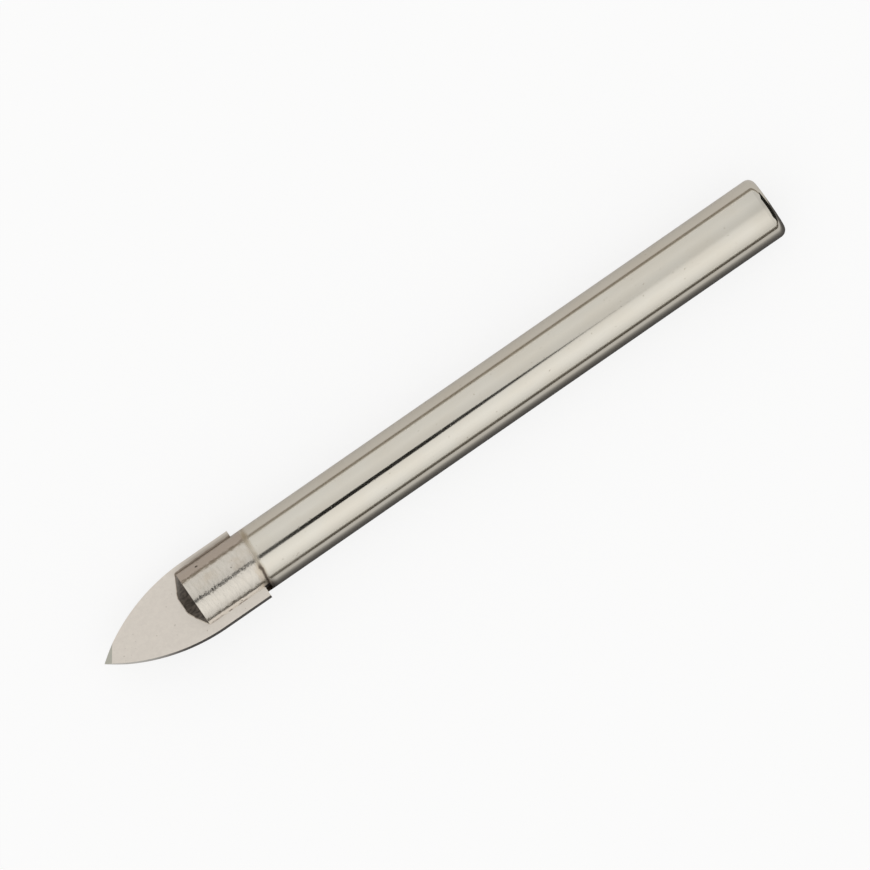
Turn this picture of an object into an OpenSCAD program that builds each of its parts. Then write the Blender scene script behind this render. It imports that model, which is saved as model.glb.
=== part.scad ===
// Spear-point carbide drill bit for glass and tile, lying on its shank.
// In the bit's own frame the axis is X, from the rear end face at 0 to the point, and the carbide
// plate lies in the XY plane. lay() then puts the bit on the surface z = 0.

/* [Shank] */
// Length of the whole bit, from the rear end face to the point
overall_l = 96; // [80:0.5:120]
// Diameter of the shank
shank_d = 8; // [6:0.1:9]
// Radius of the rounding on the rear edge
rear_edge_r = 1; // [0.3:0.05:1.5]

/* [Head] */
// How much the radius of the ground head falls from the neck to its front
head_taper = 0.04; // [0.01:0.01:0.2]
// How far the ground surface runs on behind the slot, to the neck
neck_run_on = 0.3; // [0.1:0.05:2]
// How far the point stands ahead of the flat front of the nose
tip_reach = 11.6; // [10:0.1:13]
// Included angle of the nose cone
nose_angle = 118; // [100:1:130]
// Diameter of the flat front of the nose
nose_flat_d = 3.3; // [3:0.1:5]
// How far the slot runs on behind the carbide plate
slot_run_on = 0.75; // [0.3:0.05:1.5]

/* [Carbide tip] */
// Cutting diameter, across the two margins
tip_w = 10.2; // [9.6:0.1:12]
// Thickness of the carbide plate
tip_t = 2.4; // [1.8:0.1:2.8]
// Length of the carbide plate, from its rear edge to the point
tip_l = 20.9; // [18:0.1:24]
// Radius of the two curved cutting edges
edge_r = 24; // [20:0.5:28]
// Relief angle of the flanks behind the cutting edges and margins
relief_angle = 11; // [6:0.5:14]
// How far the two point facets lean back from the axis
facet_lean = 43; // [35:1:50]
// How far the two point facets turn towards their own side
facet_turn = 34; // [20:1:45]

/* [Braze] */
// Thickness of the braze film on each face of the plate
braze_film = 0.1; // [0.05:0.01:0.2]
// How far the braze behind the plate lies below the surface of the head
braze_recess = 0.5; // [0.2:0.05:1]

/* [Rest] */
// Angle by which the plate is turned about the axis as the bit lies
lie_roll = 18; // [0:1:30]

/* [Hidden] */
$fn = 96;

shank_r = shank_d / 2;
head_front_r = shank_r - head_taper;

// Stations along the axis, from the rear end face
nose_x = overall_l - tip_reach;
nose_l = (head_front_r - nose_flat_d / 2) / tan(nose_angle / 2);
head_front_x = nose_x - nose_l;
tip_rear_x = overall_l - tip_l;
slot_floor_x = tip_rear_x - slot_run_on;
neck_x = slot_floor_x - neck_run_on;

slot_w = tip_t + 2 * braze_film;

// The flank of one side is a cone about an axis that crosses the plate
flank_set_back = tip_t * tan(relief_angle);
edge_centre_y = tip_w / 2 - edge_r;
mid_flank_r = edge_r - flank_set_back / 2;
edge_l = sqrt(mid_flank_r ^ 2 - edge_centre_y ^ 2);
edge_start_x = overall_l - edge_l;

// Reach of the cutting shapes, well past the bit on every side
far = 2 * overall_l;

// Places the bit on the surface, with its middle over the origin
module lay() {
    translate([-overall_l / 2, 0, shank_r])
        rotate([lie_roll, 0, 0])
            children();
}

// Half section of the turned bar: radius along x, axis along y
module bar_profile() {
    square([shank_r - rear_edge_r, rear_edge_r]);
    intersection() {
        translate([shank_r - rear_edge_r, rear_edge_r])
            circle(r = rear_edge_r);
        translate([shank_r - rear_edge_r, -rear_edge_r])
            square(2 * rear_edge_r);
    }
    translate([0, rear_edge_r])
        square([shank_r, neck_x - rear_edge_r]);
    polygon([
        [0, neck_x],
        [shank_r, neck_x],
        [head_front_r, head_front_x],
        [nose_flat_d / 2, nose_x],
        [0, nose_x]
    ]);
}

// The turned bar before its slot is milled
module turned_bar() {
    rotate([0, 90, 0])
        rotate_extrude()
            bar_profile();
}

// A slab across the bit, of the given width, between two stations
module slab(width, from_x, to_x) {
    translate([from_x, -far / 2, -width / 2])
        cube([to_x - from_x, far, width]);
}

// The plate as the flank on its +Y side leaves it: the cutting edge is on the upper face
module flanked_half() {
    translate([tip_rear_x, 0, 0])
        rotate([90, 0, 90])
            linear_extrude(edge_start_x - tip_rear_x)
                polygon([
                    [-tip_w, -tip_t / 2],
                    [tip_w / 2 - flank_set_back, -tip_t / 2],
                    [tip_w / 2, tip_t / 2],
                    [-tip_w, tip_t / 2]
                ]);
    intersection() {
        translate([edge_start_x, edge_centre_y, -tip_t / 2])
            cylinder(r1 = edge_r - flank_set_back, r2 = edge_r, h = tip_t);
        slab(tip_t, edge_start_x, edge_start_x + 2 * edge_r);
    }
}

// What the grinding of one point facet takes away
module facet_cut() {
    translate([overall_l, 0, 0])
        rotate([0, -facet_lean, -facet_turn])
            translate([0, -tip_w / 2, -tip_w / 2])
                cube(tip_w);
}

// The ground plate, the same after half a turn about the axis
module plate() {
    difference() {
        intersection() {
            flanked_half();
            rotate([180, 0, 0])
                flanked_half();
        }
        facet_cut();
        rotate([180, 0, 0])
            facet_cut();
    }
}

// The outer ring of the slot behind the plate, which the braze leaves open
module slot_mouth() {
    translate([slot_floor_x, 0, 0])
        rotate([0, 90, 0])
            difference() {
                cylinder(d = 2 * shank_d, h = slot_run_on);
                cylinder(r = shank_r - braze_recess, h = slot_run_on);
            }
}

module shank() {
    color([0.80, 0.77, 0.72])
        lay()
            difference() {
                turned_bar();
                slab(slot_w, slot_floor_x, overall_l);
            }
}

module carbide_tip() {
    color([0.83, 0.80, 0.76])
        lay()
            plate();
}

module braze_seam() {
    color([0.55, 0.46, 0.34])
        lay()
            difference() {
                intersection() {
                    turned_bar();
                    slab(slot_w, slot_floor_x, overall_l);
                }
                plate();
                slot_mouth();
            }
}

shank();
carbide_tip();
braze_seam();
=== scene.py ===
import math

import bmesh
import bpy
from mathutils import Matrix, Vector


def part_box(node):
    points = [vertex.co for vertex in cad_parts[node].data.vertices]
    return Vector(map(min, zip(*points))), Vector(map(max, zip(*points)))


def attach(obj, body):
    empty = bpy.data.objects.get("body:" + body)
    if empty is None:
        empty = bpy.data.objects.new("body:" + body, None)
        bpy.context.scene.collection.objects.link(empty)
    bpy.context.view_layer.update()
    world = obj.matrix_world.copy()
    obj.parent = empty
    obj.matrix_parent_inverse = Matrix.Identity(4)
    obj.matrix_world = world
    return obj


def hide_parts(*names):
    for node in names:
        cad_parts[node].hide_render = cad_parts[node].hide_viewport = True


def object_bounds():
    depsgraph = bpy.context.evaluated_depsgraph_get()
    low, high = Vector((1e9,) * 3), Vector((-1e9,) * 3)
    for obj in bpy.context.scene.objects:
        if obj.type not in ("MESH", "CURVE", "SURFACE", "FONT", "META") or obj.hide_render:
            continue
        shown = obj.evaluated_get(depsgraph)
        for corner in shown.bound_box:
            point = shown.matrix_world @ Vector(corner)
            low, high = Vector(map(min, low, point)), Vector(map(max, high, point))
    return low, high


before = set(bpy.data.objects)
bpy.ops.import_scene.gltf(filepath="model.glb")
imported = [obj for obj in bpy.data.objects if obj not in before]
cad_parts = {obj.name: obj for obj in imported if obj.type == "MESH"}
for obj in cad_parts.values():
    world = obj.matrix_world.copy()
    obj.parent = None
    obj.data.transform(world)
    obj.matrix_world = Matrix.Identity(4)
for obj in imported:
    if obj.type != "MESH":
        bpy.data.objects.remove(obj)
cad_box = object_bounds()

# Sizes in millimetres and degrees. In the bit's own frame the axis is X, from the rear end face
# at 0 to the point, and the carbide plate lies in the XY plane.
MM = 0.001
OVERALL_L = (cad_box[1].x - cad_box[0].x) / MM
SHANK_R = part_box("shank")[1].z / MM / 2
REAR_EDGE_R = 1.0
HEAD_TAPER = 0.04
TIP_REACH = 11.6
NOSE_ANGLE = 118.0
NOSE_FLAT_R = 1.65
SLOT_RUN_ON = 0.75
NECK_RUN_ON = 0.3
TIP_W = 10.2
TIP_T = 2.4
TIP_L = 20.9
EDGE_R = 24.0
RELIEF_ANGLE = 11.0
FACET_LEAN = 43.0
FACET_TURN = 34.0
BRAZE_FILM = 0.1
LIE_ROLL = 18.0

# Stations along the axis, and what else follows from the sizes
HEAD_FRONT_R = SHANK_R - HEAD_TAPER
NOSE_X = OVERALL_L - TIP_REACH
NOSE_L = (HEAD_FRONT_R - NOSE_FLAT_R) / math.tan(math.radians(NOSE_ANGLE / 2))
HEAD_FRONT_X = NOSE_X - NOSE_L
TIP_REAR_X = OVERALL_L - TIP_L
SLOT_FLOOR_X = TIP_REAR_X - SLOT_RUN_ON
NECK_X = SLOT_FLOOR_X - NECK_RUN_ON
HALF_SLOT = TIP_T / 2 + BRAZE_FILM
FLANK_SET_BACK = TIP_T * math.tan(math.radians(RELIEF_ANGLE))
EDGE_CENTRE_Y = TIP_W / 2 - EDGE_R
MID_FLANK_R = EDGE_R - FLANK_SET_BACK / 2
EDGE_START_X = OVERALL_L - math.sqrt(MID_FLANK_R ** 2 - EDGE_CENTRE_Y ** 2)

# Broken edges, and the angle between faces from which an edge is broken
EDGE_BREAK = 0.04
BREAK_FROM = 25.0
BREAK_STEPS = 2

# The braze fillet: its widths, how it changes from one to the other, and its hollow section
THIN_FILLET_W = 0.12
WIDE_FILLET_W = 0.3
WIDENING_L = 0.4
FILLET_SET_IN = 0.05
FILLET_LEAN = 0.33
FILLET_HOLLOW = 0.12
FILLET_SINK = 0.01
FILLET_ROOT = 0.03
# Rate along the path, start and share of each wave in the fillet's width, and their common share
SWELLS = [(0.37, 0, 1.0), (0.83, 1, 0.6), (0.13, 2, 0.4)]
SWELL_SHARE = 0.08

# How finely the curves are divided
PRONG_STEPS = 96
GAP_STEPS = 20
REAR_EDGE_STEPS = 12
SHANK_STEPS = 30
HEAD_STEPS = 10
NOSE_STEPS = 8
FLANK_STEPS = 48
SEAM_SIDE_STEPS = 80
SEAM_NOSE_STEPS = 24
SEAM_FRONT_STEPS = 16
FILLET_FACES = 6

# Angle between faces, in degrees, below which each piece is shaded smooth
SHANK_SMOOTH = 30.0
TIP_SMOOTH = 6.0
FILLET_SMOOTH = 50.0

# For grinding the plate: spare width of the blank, how far the last flank plane turns past the
# point, and the distances within which points count as on a plane or as one
BLANK_SPARE = 1.2
FLANK_OVERRUN = 2.0
ON_PLANE = 1e-7
ONE_POINT = 1e-4

# From the bit's own frame, in millimetres, to the part's frame, in metres
LAY = (
    Matrix.Translation((-OVERALL_L / 2 * MM, 0, SHANK_R * MM))
    @ Matrix.Rotation(math.radians(LIE_ROLL), 4, "X")
    @ Matrix.Scale(MM, 4)
)


def world_x(station):
    """Place along the part's X axis, in metres, of a station of the bit."""
    return (station - OVERALL_L / 2) * MM


def spread(first, last, steps):
    """Evenly spaced numbers from first to last, both included."""
    return [first + (last - first) * i / steps for i in range(steps + 1)]


def mesh_object(name, verts, faces, smooth_below):
    """A laid-down object from points in the bit's frame."""
    mesh = bpy.data.meshes.new(name)
    mesh.from_pydata([LAY @ Vector(v) for v in verts], [], faces)
    return finished_object(name, mesh, smooth_below)


def finished_object(name, mesh, smooth_below):
    """Puts a mesh in the scene, smooth where its faces turn by less than the angle."""
    mesh.update()
    mesh.validate()
    mesh.shade_smooth()
    mesh.set_sharp_from_angle(angle=math.radians(smooth_below))
    obj = bpy.data.objects.new(name, mesh)
    bpy.context.scene.collection.objects.link(obj)
    return obj


def break_edges(obj):
    """Rounds the sharp edges a little."""
    bevel = obj.modifiers.new("edge_break", "BEVEL")
    bevel.width = EDGE_BREAK * MM
    bevel.segments = BREAK_STEPS
    bevel.limit_method = "ANGLE"
    bevel.angle_limit = math.radians(BREAK_FROM)
    bevel.harden_normals = True
    bevel.use_clamp_overlap = True


def bar_radius(x):
    """Radius of the turned bar at a station ahead of its rear edge."""
    if x <= NECK_X:
        return SHANK_R
    if x <= HEAD_FRONT_X:
        share = (x - NECK_X) / (HEAD_FRONT_X - NECK_X)
        return SHANK_R + share * (HEAD_FRONT_R - SHANK_R)
    share = (x - HEAD_FRONT_X) / NOSE_L
    return HEAD_FRONT_R + share * (NOSE_FLAT_R - HEAD_FRONT_R)


def prong_angles(radius):
    """Angles round one prong of the slotted head, from one slot wall to the other."""
    start = math.asin(HALF_SLOT / radius)
    return spread(start, math.pi - start, PRONG_STEPS)


def around(x, radius, angles):
    """Points at a station, at the given angles round the axis."""
    return [(x, radius * math.cos(a), radius * math.sin(a)) for a in angles]


def shank_piece():
    """The turned bar: rounded rear edge, shank, slotted head and cone-shaped nose."""
    verts = []
    faces = []

    def place(points):
        start = len(verts)
        verts.extend(points)
        return list(range(start, len(verts)))

    def skin(back, front, closed):
        count = len(back) if closed else len(back) - 1
        for i in range(count):
            j = (i + 1) % len(back)
            faces.append((back[i], back[j], front[j], front[i]))

    upper = prong_angles(bar_radius(SLOT_FLOOR_X))
    left_gap = spread(upper[-1], upper[0] + math.pi, GAP_STEPS)[1:-1]
    lower = [a + math.pi for a in upper]
    right_gap = [a + math.pi for a in left_gap]
    circle = upper + left_gap + lower + right_gap

    rings = []
    for turn in spread(0, math.pi / 2, REAR_EDGE_STEPS):
        x = REAR_EDGE_R * (1 - math.cos(turn))
        radius = SHANK_R - REAR_EDGE_R * (1 - math.sin(turn))
        rings.append(place(around(x, radius, circle)))
    for x in spread(REAR_EDGE_R, NECK_X, SHANK_STEPS)[1:] + [SLOT_FLOOR_X]:
        rings.append(place(around(x, bar_radius(x), circle)))
    for back, front in zip(rings, rings[1:]):
        skin(back, front, True)
    faces.append(tuple(reversed(rings[0])))

    # The floor of the slot, between the roots of the two prongs
    last = rings[-1]
    side = PRONG_STEPS + 1
    gap = GAP_STEPS - 1
    roots = [last[:side], last[side + gap:2 * side + gap]]
    floor_loop = [last[side - 1]] + last[side:side + gap] + [roots[1][0], roots[1][-1]]
    faces.append(tuple(floor_loop + last[2 * side + gap:] + [last[0]]))

    stations = spread(SLOT_FLOOR_X, HEAD_FRONT_X, HEAD_STEPS)[1:]
    stations += spread(HEAD_FRONT_X, NOSE_X, NOSE_STEPS)[1:]
    for root, half_turn in zip(roots, (0, math.pi)):
        back = root
        for x in stations:
            radius = bar_radius(x)
            angles = [a + half_turn for a in prong_angles(radius)]
            front = place(around(x, radius, angles))
            skin(back, front, False)
            faces.append((back[-1], back[0], front[0], front[-1]))
            back = front
        faces.append(tuple(back))
    return mesh_object("shank_bar", verts, faces, SHANK_SMOOTH)


def cut(mesh, point, normal):
    """Takes away what lies beyond a plane and closes the cut."""
    geometry = mesh.verts[:] + mesh.edges[:] + mesh.faces[:]
    done = bmesh.ops.bisect_plane(
        mesh, geom=geometry, dist=ON_PLANE, plane_co=point, plane_no=normal, clear_outer=True
    )
    rim = [e for e in done["geom_cut"] if isinstance(e, bmesh.types.BMEdge)]
    if rim:
        bmesh.ops.contextual_create(mesh, geom=rim)


def half_turned(vector):
    """The same after half a turn about the axis."""
    return Vector((vector.x, -vector.y, -vector.z))


def tip_planes():
    """Point and outward normal of every plane that bounds the carbide plate."""
    relief = math.radians(RELIEF_ANGLE)
    planes = []
    end = math.acos(-EDGE_CENTRE_Y / MID_FLANK_R) + math.radians(FLANK_OVERRUN)
    for turn in spread(0, end, FLANK_STEPS):
        out = Vector((math.sin(turn), math.cos(turn), 0))
        point = Vector((EDGE_START_X, EDGE_CENTRE_Y, TIP_T / 2)) + EDGE_R * out
        normal = math.cos(relief) * out - math.sin(relief) * Vector((0, 0, 1))
        planes.append((point, normal))
    lean = math.radians(FACET_LEAN)
    turn = math.radians(FACET_TURN)
    facet = Vector((
        math.cos(lean) * math.cos(turn),
        -math.cos(lean) * math.sin(turn),
        math.sin(lean),
    ))
    planes.append((Vector((OVERALL_L, 0, 0)), facet))
    return planes + [(half_turned(p), half_turned(n)) for p, n in planes]


def tip_piece():
    """The carbide plate, ground out of a blank plane by plane."""
    mesh = bmesh.new()
    bmesh.ops.create_cube(mesh, size=1)
    blank = Matrix.Translation(((TIP_REAR_X + OVERALL_L) / 2, 0, 0))
    blank @= Matrix.Diagonal((TIP_L, BLANK_SPARE * TIP_W, TIP_T, 1))
    bmesh.ops.transform(mesh, matrix=blank, verts=mesh.verts)
    for point, normal in tip_planes():
        cut(mesh, point, normal)
    bmesh.ops.remove_doubles(mesh, verts=mesh.verts, dist=ONE_POINT)
    bmesh.ops.recalc_face_normals(mesh, faces=mesh.faces)
    bmesh.ops.transform(mesh, matrix=LAY, verts=mesh.verts)
    data = bpy.data.meshes.new("tip_plate")
    mesh.to_mesh(data)
    mesh.free()
    return finished_object("tip_plate", data, TIP_SMOOTH)


def seam_path():
    """Points along the corner between the plate's upper face and the head, from the neck and back."""
    height = TIP_T / 2
    stations = spread(TIP_REAR_X + FILLET_SET_IN, HEAD_FRONT_X, SEAM_SIDE_STEPS)
    stations += spread(HEAD_FRONT_X, NOSE_X, SEAM_NOSE_STEPS)[1:]
    side = [Vector((x, math.sqrt(bar_radius(x) ** 2 - height ** 2), height)) for x in stations]
    nose_ys = spread(side[-1].y, -side[-1].y, SEAM_FRONT_STEPS)[1:-1]
    front = [Vector((NOSE_X, y, height)) for y in nose_ys]
    back = [Vector((p.x, -p.y, p.z)) for p in reversed(side)]
    return side + front + back


def fillet_width(corner, step):
    """Width of the fillet at a point of the path: wide behind the head's front on the -Y side."""
    wide = 0
    if corner.y < 0:
        wide = min(max((HEAD_FRONT_X - corner.x) / WIDENING_L + 0.5, 0), 1)
    swell = sum(share * math.sin(step * rate + start) for rate, start, share in SWELLS)
    return (THIN_FILLET_W + wide * (WIDE_FILLET_W - THIN_FILLET_W)) * (1 + SWELL_SHARE * swell)


def fillet_section(corner, out, width):
    """Hollow section of the fillet: from the plate, up the head, and closed inside the corner."""
    up = Vector((0, 0, 1))
    rise = (up - FILLET_LEAN * out).normalized()
    foot = corner + width * out - FILLET_SINK * up
    head = corner + width * rise - FILLET_SINK * out
    bend = corner + FILLET_HOLLOW * width * (out + rise)
    section = []
    for t in spread(0, 1, FILLET_FACES):
        section.append((1 - t) ** 2 * foot + 2 * t * (1 - t) * bend + t ** 2 * head)
    section.append(corner - FILLET_ROOT * (out + rise))
    return section


def fillet_piece():
    """The braze that stands in the corner all round the head, wide along one side of each face."""
    verts = []
    faces = []
    path = seam_path()
    for face in (1, -1):
        rings = []
        for i, corner in enumerate(path):
            ahead = path[min(i + 1, len(path) - 1)] - path[max(i - 1, 0)]
            out = Vector((0, 0, 1)).cross(ahead).normalized()
            section = fillet_section(corner, out, fillet_width(corner, i))
            rings.append(list(range(len(verts), len(verts) + len(section))))
            verts.extend((p.x, face * p.y, face * p.z) for p in section)
        count = len(rings[0])
        for back, front in zip(rings, rings[1:]):
            for k in range(count):
                n = (k + 1) % count
                faces.append((back[k], back[n], front[n], front[k]))
        faces.append(tuple(reversed(rings[0])))
        faces.append(tuple(rings[-1]))
    obj = mesh_object("braze_fillet", verts, faces, FILLET_SMOOTH)
    mesh = bmesh.new()
    mesh.from_mesh(obj.data)
    bmesh.ops.recalc_face_normals(mesh, faces=mesh.faces)
    mesh.to_mesh(obj.data)
    mesh.free()
    return obj


# Sockets of the mix node that share their names, by number
MIX_FACTOR = 0
NUMBER_A = 2
NUMBER_B = 3
COLOUR_A = 6
COLOUR_B = 7
NUMBER_OUT = 0
COLOUR_OUT = 2


class Nodes:
    """The nodes of one tree, wired by short calls. A value is a socket or a constant."""

    def __init__(self, tree):
        self.tree = tree

    def add(self, kind, **settings):
        node = self.tree.nodes.new(kind)
        for key, value in settings.items():
            setattr(node, key, value)
        return node

    def wire(self, source, socket):
        if hasattr(source, "is_output"):
            self.tree.links.new(source, socket)
        else:
            socket.default_value = source

    def split(self, vector):
        node = self.add("ShaderNodeSeparateXYZ")
        self.wire(vector, node.inputs[0])
        return node.outputs

    def calc(self, kind, first, second=0.0):
        node = self.add("ShaderNodeMath", operation=kind)
        self.wire(first, node.inputs[0])
        self.wire(second, node.inputs[1])
        return node.outputs[0]

    def plus(self, first, second):
        return self.calc("ADD", first, second)

    def minus(self, first, second):
        return self.calc("SUBTRACT", first, second)

    def times(self, first, second):
        return self.calc("MULTIPLY", first, second)

    def larger(self, first, second):
        return self.calc("MAXIMUM", first, second)

    def size(self, value):
        """The value without its sign."""
        return self.calc("ABSOLUTE", value)

    def range(self, value, low, high, to_low=0.0, to_high=1.0, curve="SMOOTHSTEP"):
        """Goes from to_low to to_high as the value goes from low to high."""
        node = self.add("ShaderNodeMapRange", interpolation_type=curve)
        self.wire(value, node.inputs["Value"])
        node.inputs["From Min"].default_value = low
        node.inputs["From Max"].default_value = high
        node.inputs["To Min"].default_value = to_low
        node.inputs["To Max"].default_value = to_high
        return node.outputs["Result"]

    def blend(self, factor, first, second):
        """A mix of two colours."""
        node = self.add("ShaderNodeMix", data_type="RGBA")
        self.wire(factor, node.inputs[MIX_FACTOR])
        self.wire(first, node.inputs[COLOUR_A])
        self.wire(second, node.inputs[COLOUR_B])
        return node.outputs[COLOUR_OUT]

    def mix(self, factor, first, second):
        """A mix of two numbers."""
        node = self.add("ShaderNodeMix", data_type="FLOAT")
        self.wire(factor, node.inputs[MIX_FACTOR])
        self.wire(first, node.inputs[NUMBER_A])
        self.wire(second, node.inputs[NUMBER_B])
        return node.outputs[NUMBER_OUT]


class Shader(Nodes):
    """The nodes of one material, which know the place on the part in metres."""

    def __init__(self, name):
        self.material = bpy.data.materials.new(name)
        self.material.use_nodes = True
        super().__init__(self.material.node_tree)
        self.surface = self.tree.nodes["Principled BSDF"]
        self.place = self.add("ShaderNodeTexCoord").outputs["Object"]
        self.x, self.y, self.z = self.split(self.place)

    def past(self, place, start, end, to_low=0.0, to_high=1.0):
        """Goes from to_low to to_high between two places, given in millimetres."""
        return self.range(place, start * MM, end * MM, to_low, to_high)

    def along(self, start, end, to_low=0.0, to_high=1.0):
        """Goes from to_low to to_high between two stations of the bit."""
        return self.range(self.x, world_x(start), world_x(end), to_low, to_high)

    def near(self, distance, full, gone):
        """1 up to one distance and 0 past another, both in millimetres."""
        return self.range(distance, full * MM, gone * MM, 1.0, 0.0)

    def distance(self, point):
        """Distance from a point, in metres."""
        node = self.add("ShaderNodeVectorMath", operation="DISTANCE")
        self.wire(self.place, node.inputs[0])
        node.inputs[1].default_value = point
        return node.outputs["Value"]

    def noise(self, features, detail=3.0, roughness=0.55, turn=(0, 0, 0)):
        """Noise with the given number of features a metre, one for all axes or one for each."""
        mapping = self.add("ShaderNodeMapping")
        self.wire(self.place, mapping.inputs["Vector"])
        mapping.inputs["Rotation"].default_value = turn
        each = features if isinstance(features, tuple) else (features, features, features)
        mapping.inputs["Scale"].default_value = each
        node = self.add("ShaderNodeTexNoise")
        self.wire(mapping.outputs[0], node.inputs["Vector"])
        node.inputs["Scale"].default_value = 1.0
        node.inputs["Detail"].default_value = detail
        node.inputs["Roughness"].default_value = roughness
        return node.outputs["Fac"]

    def astray(self, noise, reach):
        """Noise as an offset about zero, over a reach in millimetres."""
        return self.times(self.minus(noise, 0.5), reach * MM)

    def bump(self, height, depth):
        """Relief of the given depth, in millimetres."""
        node = self.add("ShaderNodeBump")
        node.inputs["Strength"].default_value = 1.0
        node.inputs["Distance"].default_value = depth * MM
        self.wire(height, node.inputs["Height"])
        self.wire(node.outputs[0], self.surface.inputs["Normal"])

    def set(self, **sockets):
        """Sets sockets of the surface, with underscores for the spaces in their names."""
        for key, value in sockets.items():
            self.wire(value, self.surface.inputs[key.replace("_", " ")])


# Colours of the metal
PLATE = (0.70, 0.67, 0.60, 1)
PLATE_WARM = (0.69, 0.65, 0.57, 1)
GROUND = (0.66, 0.62, 0.555, 1)
GROUND_STAIN = (0.59, 0.525, 0.44, 1)
GROUND_BROWN = (0.50, 0.42, 0.355, 1)
NECK_STAIN = (0.45, 0.38, 0.28, 1)
# Braze wash on the head, lightened by a painted highlight of the fillet
WASH_AND_HIGHLIGHT = (0.83, 0.805, 0.77, 1)
STAIN = (0.25, 0.19, 0.13, 1)
DARKEST_BROWN = (0.07, 0.05, 0.035, 1)
BURNT = (0.105, 0.09, 0.079, 1)
BURNT_DARK = (0.03, 0.025, 0.021, 1)
CARBIDE = (0.80, 0.745, 0.675, 1)
CARBIDE_GREY = (0.75, 0.695, 0.63, 1)
CARBIDE_BESIDE_HEAD = (0.45, 0.405, 0.35, 1)
CARBIDE_FLANK = (0.62, 0.58, 0.53, 1)
CARBIDE_POINT = (0.62, 0.63, 0.57, 1)
BRAZE = (0.74, 0.70, 0.64, 1)
BRAZE_BROWN = (0.60, 0.54, 0.46, 1)
BRAZE_DARK = (0.34, 0.29, 0.245, 1)
GAP_BLACK = (0.035, 0.025, 0.018, 1)

# Roughness of the metal, as a pair where it varies with a noise
PLATE_ROUGH = (0.05, 0.11)
PLATE_DULLING = 0.07
GROUND_ROUGH = (0.08, 0.2)
NECK_ROUGH = 0.32
NOSE_ROUGH = 0.35
REAR_ROUGH = (0.14, 0.34)
CARBIDE_ROUGH = (0.34, 0.5)
FLANK_ROUGH = 0.22
BRAZE_ROUGH = (0.38, 0.2)

# Rings a metre that the lathe left on the rear end face
TURNED_RINGS = 7000.0

# Depth of the relief, in millimetres
SHANK_RELIEF = 0.006
CARBIDE_RELIEF = 0.005
BRAZE_RELIEF = 0.01

# Where the marks lie, in millimetres: X values are stations of the bit, Y and Z values are places as
# it lies. A pair of places is where a mark starts and stops changing, and a pair of distances is
# where it is full and where it is gone.
NECK_BLUR = 0.08
NOSE_BLUR = 0.02
DULL_FROM_X = 63.0
DULL_TO_X = 74.0
REAR_FACE_X = 0.12
REAR_FACE_END_X = 0.25
PIT_X = 80.5
PIT_Y = -3.35
PIT_Z = 6.1
PIT_R = (0.26, 0.32)
PIT_RAGGED = 0.3
SHOULDER_Y = (-1.0, -3.0)
SHOULDER_Z = (7.4, 6.4)
WASH_AND_HIGHLIGHT_Y = (2.5, 3.0)
WASH_AND_HIGHLIGHT_Z = (5.5, 6.0)
WASH_AND_HIGHLIGHT_RAGGED = 0.6
WASH_AND_HIGHLIGHT_START_L = 1.2
NECK_MARK_X = NECK_X + 0.06
NECK_SLANT = 0.11
NECK_RAGGED = 0.5
NECK_BAND = (0.1, 0.6)
NECK_BAND_Y = (-2.0, 1.0)
NECK_LINE = (0.04, 0.28)
NECK_LINE_Y = (0.2, 1.1)
NECK_TAN_OFFSET = 0.55
NECK_TAN = (0.1, 0.5)
NECK_TAN_Y = (0.0, 1.5)
SLOT_END_DARK = (0.2, 1.0)
SLOT_END_DARK_Y = (2.6, 3.3)
BESIDE_HEAD_X = (84.2, 80.0)
BESIDE_HEAD_Y = (-3.7, -4.1)
SIDE_RIM_Y = (-4.7, -4.3)
BRAZE_DARK_SIDE_Y = (-2.5, -3.2)
GAP_BLACK_X = (TIP_REAR_X + 0.2, TIP_REAR_X - 0.1)


def plated_finish(s):
    """Colour, roughness and relief of the bright shank, duller towards the neck."""
    tint = s.noise((140, 300, 300))
    colour = s.blend(s.range(tint, 0.35, 0.7), PLATE, PLATE_WARM)
    pits = s.range(s.noise(2400, 2.0), 0.70, 0.76)
    colour = s.blend(s.times(pits, 0.35), colour, STAIN)
    rough = s.mix(s.noise(500), *PLATE_ROUGH)
    rough = s.plus(rough, s.along(DULL_FROM_X, DULL_TO_X, 0.0, PLATE_DULLING))
    peel = s.times(s.noise(900, 2.0), 0.05)
    return colour, rough, s.minus(peel, s.times(pits, 0.5))


def ground_finish(s, blotch):
    """Colour, roughness and relief of the ground head: brown shoulder, braze wash with a painted
    highlight, one deep pit.
    """
    lines = s.noise((8000, 260, 260))
    coarse = s.noise((2100, 900, 900), turn=(0, 0, 0.25))
    colour = s.blend(s.range(blotch, 0.52, 0.85), GROUND, GROUND_STAIN)
    shoulder = s.times(s.past(s.z, *SHOULDER_Z), s.past(s.y, *SHOULDER_Y))
    colour = s.blend(s.times(shoulder, 0.8), colour, GROUND_BROWN)
    # Strip of braze wash above the +Y seam: partly its own silvery colour, partly a painted highlight,
    # so lighter than the braze itself
    ragged = s.plus(s.y, s.astray(coarse, WASH_AND_HIGHLIGHT_RAGGED))
    wash_and_highlight = s.times(s.past(ragged, *WASH_AND_HIGHLIGHT_Y), s.past(s.z, *WASH_AND_HIGHLIGHT_Z))
    wash_and_highlight = s.times(wash_and_highlight, s.along(TIP_REAR_X, TIP_REAR_X + WASH_AND_HIGHLIGHT_START_L))
    colour = s.blend(wash_and_highlight, colour, WASH_AND_HIGHLIGHT)
    specks = s.range(s.noise(1500, 2.0), 0.69, 0.74)
    colour = s.blend(s.times(specks, 0.7), colour, DARKEST_BROWN)
    from_pit = s.distance((world_x(PIT_X), PIT_Y * MM, PIT_Z * MM))
    pit = s.near(s.plus(from_pit, s.times(blotch, PIT_RAGGED * MM)), *PIT_R)
    colour = s.blend(pit, colour, DARKEST_BROWN)
    scored = s.plus(s.times(lines, 1.5), s.times(coarse, 8.0))
    return colour, s.mix(lines, *GROUND_ROUGH), s.minus(scored, s.times(pit, 8.0))


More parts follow.
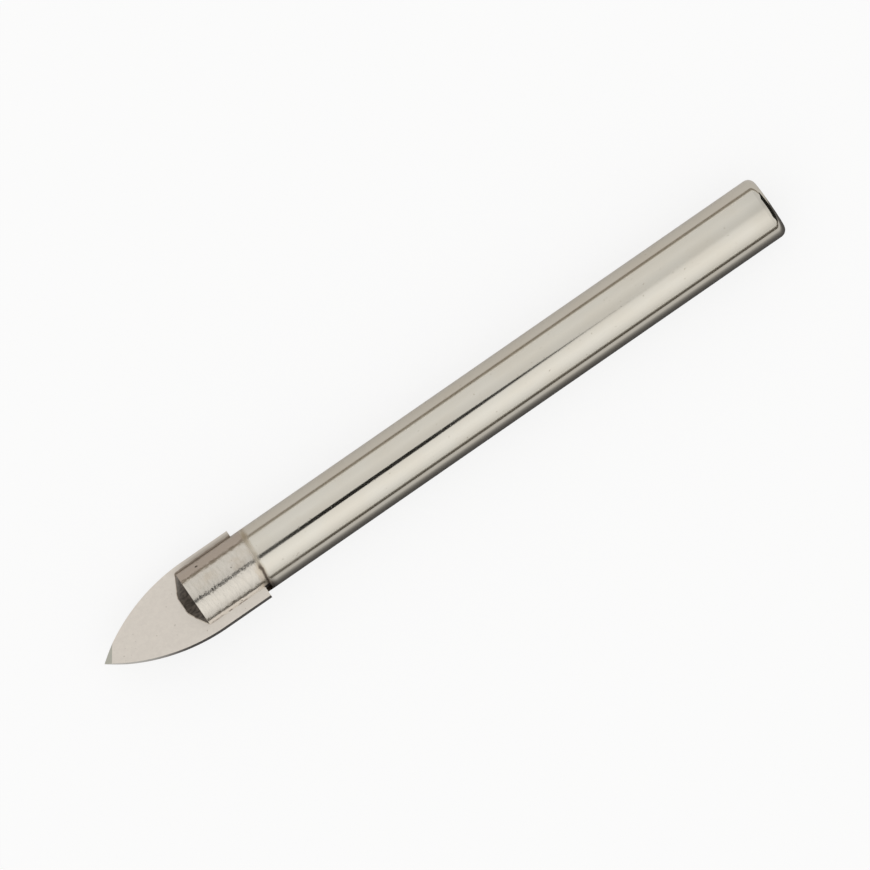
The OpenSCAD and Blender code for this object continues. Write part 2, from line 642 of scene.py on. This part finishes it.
def neck_marks(s):
    """Masks of the stained band round the neck, its dark line, and the tan ahead of it."""
    slant = s.minus(s.x, s.times(s.y, NECK_SLANT))
    slant = s.plus(slant, s.astray(s.noise(900), NECK_RAGGED))
    off = s.size(s.minus(slant, world_x(NECK_MARK_X)))
    band = s.times(s.near(off, *NECK_BAND), s.past(s.y, *NECK_BAND_Y, 1.0, 0.7))
    line = s.times(s.near(off, *NECK_LINE), s.past(s.y, *NECK_LINE_Y))
    off = s.size(s.minus(slant, world_x(NECK_MARK_X + NECK_TAN_OFFSET)))
    tan = s.times(s.near(off, *NECK_TAN), s.past(s.y, *NECK_TAN_Y))
    return band, line, tan


def turned_rings(s):
    """Rings that the lathe left on the rear end face."""
    reach = s.distance((world_x(0), 0, SHANK_R * MM))
    rings = s.add("ShaderNodeTexNoise", noise_dimensions="1D")
    s.wire(s.times(reach, TURNED_RINGS), rings.inputs["W"])
    rings.inputs["Scale"].default_value = 1.0
    return rings.outputs["Fac"]


def shank_material():
    """Bright plated shank, ground head ahead of a stained neck, burnt nose."""
    s = Shader("shank_finish")
    head = s.along(NECK_X - NECK_BLUR, NECK_X + NECK_BLUR)
    nose = s.along(HEAD_FRONT_X - NOSE_BLUR, HEAD_FRONT_X + NOSE_BLUR)
    rear = s.along(REAR_FACE_END_X, REAR_FACE_X)
    blotch = s.noise(420, 4.0)
    streaks = s.noise((700, 4200, 900), 2.0)
    rings = turned_rings(s)
    plated, plated_rough, plated_relief = plated_finish(s)
    ground, ground_rough, ground_relief = ground_finish(s, blotch)
    band, line, tan = neck_marks(s)
    # Near-black on the +Y side round the slot's floor, just behind the plate
    off_floor = s.size(s.minus(s.x, world_x(SLOT_FLOOR_X)))
    slot_end_dark = s.times(s.near(off_floor, *SLOT_END_DARK), s.past(s.y, *SLOT_END_DARK_Y))

    colour = s.blend(head, plated, ground)
    colour = s.blend(s.times(tan, 0.9), colour, GROUND_STAIN)
    worn = s.times(band, s.range(blotch, 0.3, 0.65, 0.95, 0.45))
    colour = s.blend(worn, colour, NECK_STAIN)
    colour = s.blend(s.times(line, 0.9), colour, DARKEST_BROWN)
    colour = s.blend(s.times(slot_end_dark, 0.75), colour, DARKEST_BROWN)
    burnt = s.blend(s.range(streaks, 0.34, 0.66), BURNT_DARK, BURNT)
    colour = s.blend(nose, colour, burnt)

    rough = s.mix(head, plated_rough, ground_rough)
    rough = s.mix(band, rough, NECK_ROUGH)
    rough = s.mix(nose, rough, NOSE_ROUGH)
    rough = s.mix(rear, rough, s.mix(rings, *REAR_ROUGH))

    relief = s.mix(head, plated_relief, ground_relief)
    relief = s.mix(nose, relief, streaks)
    relief = s.mix(rear, relief, rings)
    s.bump(relief, SHANK_RELIEF)
    s.set(Base_Color=colour, Roughness=rough, Metallic=1.0)
    return s.material


def carbide_material():
    """Satin ground carbide: mottled, with fine lines along the plate, and darker beside the head on its
    -Y side.
    """
    s = Shader("carbide_finish")
    mottle = s.noise(1800, 4.0, 0.65)
    cloud = s.noise(160)
    colour = s.blend(s.range(mottle, 0.3, 0.7), CARBIDE_GREY, CARBIDE)
    colour = s.blend(s.times(s.range(cloud, 0.5, 0.75), 0.5), colour, CARBIDE)
    specks = s.range(s.noise(2600, 2.0), 0.70, 0.75)
    colour = s.blend(s.times(specks, 0.4), colour, STAIN)
    # Darker beside the head on the -Y side, most near the seam, less towards the plate's edge, fading
    # out ahead
    beside = s.times(s.past(s.y, *BESIDE_HEAD_Y), s.along(*BESIDE_HEAD_X))
    beside = s.times(beside, s.past(s.y, *SIDE_RIM_Y, 0.4, 1.0))
    colour = s.blend(beside, colour, CARBIDE_BESIDE_HEAD)

    facing = s.split(s.add("ShaderNodeNewGeometry").outputs["Normal"])
    level = s.size(facing["Z"])
    flank = s.range(level, 0.45, 0.3)
    point_ground = s.range(facing["X"], 0.25, 0.45)
    point_ground = s.times(point_ground, s.range(level, 0.2, 0.45, 0.4, 1.0))
    colour = s.blend(flank, colour, CARBIDE_FLANK)
    colour = s.blend(point_ground, colour, CARBIDE_POINT)

    rough = s.mix(flank, s.mix(mottle, *CARBIDE_ROUGH), FLANK_ROUGH)
    lines = s.noise((260, 5200, 5200))
    s.bump(s.plus(s.times(mottle, 0.7), s.times(lines, 0.4)), CARBIDE_RELIEF)
    s.set(Base_Color=colour, Roughness=rough, Metallic=1.0)
    return s.material


def braze_material():
    """Silver braze, dark brown in patches and on its -Y side, near-black behind the plate."""
    s = Shader("braze_finish")
    patch = s.noise(1300, 4.0, 0.6)
    colour = s.blend(s.range(patch, 0.38, 0.62), BRAZE_BROWN, BRAZE)
    # Dark brown all over on the -Y side, and in patches elsewhere
    stained = s.larger(s.past(s.y, *BRAZE_DARK_SIDE_Y), s.range(patch, 0.42, 0.58))
    colour = s.blend(stained, colour, BRAZE_DARK)
    # Near-black behind the plate's rear end, where the slot runs on past it
    behind = s.along(*GAP_BLACK_X)
    colour = s.blend(behind, colour, GAP_BLACK)
    s.bump(patch, BRAZE_RELIEF)
    s.set(Base_Color=colour, Roughness=s.mix(patch, *BRAZE_ROUGH), Metallic=1.0)
    return s.material


def put_on(obj, material):
    """Gives an object one material."""
    obj.data.materials.clear()
    obj.data.materials.append(material)


shank_finish = shank_material()
carbide_finish = carbide_material()
braze_finish = braze_material()

shank = shank_piece()
break_edges(shank)
put_on(shank, shank_finish)
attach(shank, "root")
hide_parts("shank")

tip = tip_piece()
break_edges(tip)
put_on(tip, carbide_finish)
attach(tip, "root")
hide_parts("carbide_tip")

fillet = fillet_piece()
put_on(fillet, braze_finish)
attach(fillet, "root")

for part_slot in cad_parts["braze_seam"].material_slots:
    part_slot.material = braze_finish

# Floor, and the cards and the foot of the light tent that only the bright metal mirrors
FLOOR_R = 600.0
RIM_STEPS = 96
FLOOR_GLOW = 0.8
SHEET_SHARE = 0.9
SHEET_Z = 0.05
SHEET_REACH = 125.0
SHEET_BLUR = 30.0
SHEET_NEAR_Y = (-2.0, 0.0)
SHEET_CLEAR_Y = (6.0, 28.0)
SHEET_CLEAR_X = (38.0, 46.0)
BENCH_Y = (-20.0, 20.0)
TENT_FOOT = 155.0
FOOT_FADE_SHARE = 0.35
SLIT_Z = 600.0
# Half the outline of the overhead slit: place along the bit, and half its width there
HALF_SLIT = [(-41, 0), (-35, 16), (-30.5, 28), (-25.5, 40), (-16, 57), (-6, 67), (93, 67)]
END_CARD_X = -58.0
END_CARD_Y = (-8.0, 12.0)
END_CARD_Z = (5.0, 16.5)

PAPER = (0.95, 0.95, 0.95, 1)
PAPER_LIGHT = (0.97, 0.97, 0.97, 1)
CARD_BLACK = (0.02, 0.02, 0.018, 1)
CARD_BLACK_SHADE = (0.018, 0.018, 0.0162, 1)
SHEET_NEAR = (0.76, 0.735, 0.71, 1)
SHEET_SHADED = (0.125, 0.12, 0.12, 1)
SHEET_CLEAR = (0.74, 0.73, 0.72, 1)
BENCH = (0.33, 0.295, 0.25, 1)
BENCH_DARK = (0.15, 0.135, 0.115, 1)
TENT_WHITE = (0.95, 0.94, 0.92, 1)
STAGE_GRAIN = 40


def floor_material():
    """White paper that glows a little, under a soft shadow. In the metal the sheet covers most of it."""
    s = Shader("floor_white")
    paper = s.blend(s.noise(STAGE_GRAIN), PAPER, PAPER_LIGHT)
    s.set(Base_Color=paper, Roughness=1.0, Specular_IOR_Level=0.0)
    rays = s.add("ShaderNodeLightPath").outputs
    direct = s.larger(rays["Is Camera Ray"], rays["Is Glossy Ray"])
    direct = s.larger(direct, rays["Is Transmission Ray"])
    glow = s.add("ShaderNodeEmission")
    both = s.add("ShaderNodeMixShader")
    s.wire(s.times(direct, FLOOR_GLOW), both.inputs[0])
    s.wire(s.surface.outputs[0], both.inputs[1])
    s.wire(glow.outputs[0], both.inputs[2])
    s.wire(both.outputs[0], s.tree.nodes["Material Output"].inputs["Surface"])
    return s.material


def black_material():
    """Dull black card."""
    s = Shader("card_black")
    tone = s.blend(s.noise(STAGE_GRAIN), CARD_BLACK_SHADE, CARD_BLACK)
    s.set(Base_Color=tone, Roughness=1.0, Specular_IOR_Level=0.0)
    return s.material


def bench_tone(s):
    """Brown grey of what lies round the sheet, darker on the +Y side."""
    return s.blend(s.past(s.y, *BENCH_Y), BENCH, BENCH_DARK)


def sheet_material():
    """Grey sheet on a dark bench, shaded close to the bit on its +Y side."""
    s = Shader("sheet_grey")
    past_end = s.minus(s.size(s.x), OVERALL_L / 2 * MM)
    reach = s.larger(s.size(s.y), past_end)
    clear = s.larger(s.past(s.y, *SHEET_CLEAR_Y), s.past(s.x, *SHEET_CLEAR_X))
    tone = s.blend(clear, SHEET_SHADED, SHEET_CLEAR)
    tone = s.blend(s.past(s.y, *SHEET_NEAR_Y), SHEET_NEAR, tone)
    bench = s.past(reach, SHEET_REACH - SHEET_BLUR, SHEET_REACH + SHEET_BLUR)
    tone = s.blend(bench, tone, bench_tone(s))
    s.set(Base_Color=tone, Roughness=1.0, Specular_IOR_Level=0.0)
    return s.material


def foot_material():
    """The tone of the bench, fading into the white of the tent above."""
    s = Shader("foot_brown")
    fade = s.past(s.z, FOOT_FADE_SHARE * TENT_FOOT, TENT_FOOT)
    tone = s.blend(fade, bench_tone(s), TENT_WHITE)
    s.set(Base_Color=tone, Roughness=1.0, Specular_IOR_Level=0.0)
    return s.material


def stage_mesh(name, verts, faces, material):
    """A mesh of the studio, from points in millimetres."""
    mesh = bpy.data.meshes.new(name)
    mesh.from_pydata([Vector(v) * MM for v in verts], [], faces)
    obj = bpy.data.objects.new(name, mesh)
    bpy.context.scene.collection.objects.link(obj)
    mesh.materials.append(material)
    return obj


def mirrored_card(name, verts, faces, material):
    """A mesh of the studio that shows only in the metal."""
    obj = stage_mesh(name, verts, faces, material)
    obj.visible_camera = False
    obj.visible_diffuse = False
    obj.visible_shadow = False


def one_face(verts):
    """The single face that joins all the points."""
    return [tuple(range(len(verts)))]


black = black_material()
turns = spread(0, 2 * math.pi, RIM_STEPS)[:-1]
rim = [(FLOOR_R * math.cos(t), FLOOR_R * math.sin(t), 0) for t in turns]
stage_mesh("floor", rim, one_face(rim), floor_material())

sheet = [(SHEET_SHARE * x, SHEET_SHARE * y, SHEET_Z) for x, y, z in rim]
mirrored_card("grey_sheet", sheet, one_face(sheet), sheet_material())

wall = rim + [(x, y, TENT_FOOT) for x, y, z in rim]
nexts = [(i + 1) % RIM_STEPS for i in range(RIM_STEPS)]
wall_faces = [(i, n, n + RIM_STEPS, i + RIM_STEPS) for i, n in enumerate(nexts)]
mirrored_card("tent_foot", wall, wall_faces, foot_material())

slit = [(x, -w, SLIT_Z) for x, w in HALF_SLIT]
slit += [(x, w, SLIT_Z) for x, w in reversed(HALF_SLIT[1:])]
mirrored_card("tent_slit", slit, one_face(slit), black)

end_card = [(END_CARD_X, y, END_CARD_Z[0]) for y in END_CARD_Y]
end_card += [(END_CARD_X, y, END_CARD_Z[1]) for y in reversed(END_CARD_Y)]
mirrored_card("rear_end_card", end_card, one_face(end_card), black)

# A soft panel of the light tent on each side, the one on the +Y side a little brighter:
# the share of Y in the direction, and the tone there
TENT_TONES = [
    (-1.0, 0.74),
    (-0.65, 0.79),
    (-0.24, 0.70),
    (-0.06, 0.70),
    (0.18, 0.87),
    (0.57, 0.965),
    (0.76, 0.93),
    (0.90, 0.82),
    (1.0, 0.64),
]
TENT_TINT = (1.0, 0.995, 0.985)
TENT_LEVEL = 1.175
# The tent is dimmer behind the rear end, and plain and pale near the floor: the shares of X and of
# Z in the direction between which it changes
DIM_LEVEL = 0.78 * TENT_LEVEL
DIM_X = (-0.2, 0.03)
HORIZON_Z = (0.24, 0.10)
HORIZON = (0.87, 0.87, 0.865, 1)


def light_tent():
    """World that lights the bit, with its tone and level set by the direction."""
    world = bpy.data.worlds.new("light_tent")
    world.use_nodes = True
    w = Nodes(world.node_tree)
    x, y, z = w.split(w.add("ShaderNodeTexCoord").outputs["Generated"])
    panels = w.add("ShaderNodeValToRGB")
    w.wire(w.range(y, -1.0, 1.0, curve="LINEAR"), panels.inputs[0])
    stops = panels.color_ramp.elements
    for share, tone in TENT_TONES[1:-1]:
        stops.new((share + 1) / 2)
    for stop, (share, tone) in zip(stops, TENT_TONES):
        stop.position = (share + 1) / 2
        stop.color = [tone * tint for tint in TENT_TINT] + [1]
    low = w.range(z, *HORIZON_Z, curve="LINEAR")
    level = w.range(x, *DIM_X, DIM_LEVEL, TENT_LEVEL, curve="LINEAR")
    sky = w.tree.nodes["Background"]
    w.wire(w.blend(low, panels.outputs[0], HORIZON), sky.inputs["Color"])
    w.wire(w.mix(low, level, TENT_LEVEL), sky.inputs["Strength"])
    return world


bpy.context.scene.world = light_tent()

# Camera above the bit, leaning a little towards the point, in millimetres and degrees
LENS = 600.0
SENSOR_W = 36.0
CAMERA_LEAN = 1.0
CAMERA_REACH = 1721.7
AXIS_ANGLE = 34.675
AIM_X = 0.26
AIM_Y = -0.063
# Clipping distances, in metres
CLIP_NEAR = 0.01
CLIP_FAR = 10.0


def photo_camera():
    """Camera that looks down on the bit, with its axis at an angle across the picture."""
    lean = math.radians(CAMERA_LEAN)
    slope = math.radians(AXIS_ANGLE)
    along = Vector((math.cos(lean), 0, -math.sin(lean)))
    back = Vector((math.sin(lean), 0, math.cos(lean)))
    across = Vector((0, 1, 0))
    right = -math.cos(slope) * along + math.sin(slope) * across
    up = -math.sin(slope) * along - math.cos(slope) * across
    stand = Matrix((right, up, back)).transposed().to_4x4()
    stand.translation = (Vector((AIM_X, AIM_Y, SHANK_R)) + CAMERA_REACH * back) * MM
    lens = bpy.data.cameras.new("photo_camera")
    lens.lens = LENS
    lens.sensor_width = SENSOR_W
    lens.clip_start = CLIP_NEAR
    lens.clip_end = CLIP_FAR
    camera = bpy.data.objects.new("photo_camera", lens)
    camera.matrix_world = stand
    bpy.context.scene.collection.objects.link(camera)
    return camera


bpy.context.scene.camera = photo_camera()

bpy.context.scene.view_settings.view_transform = "Standard"
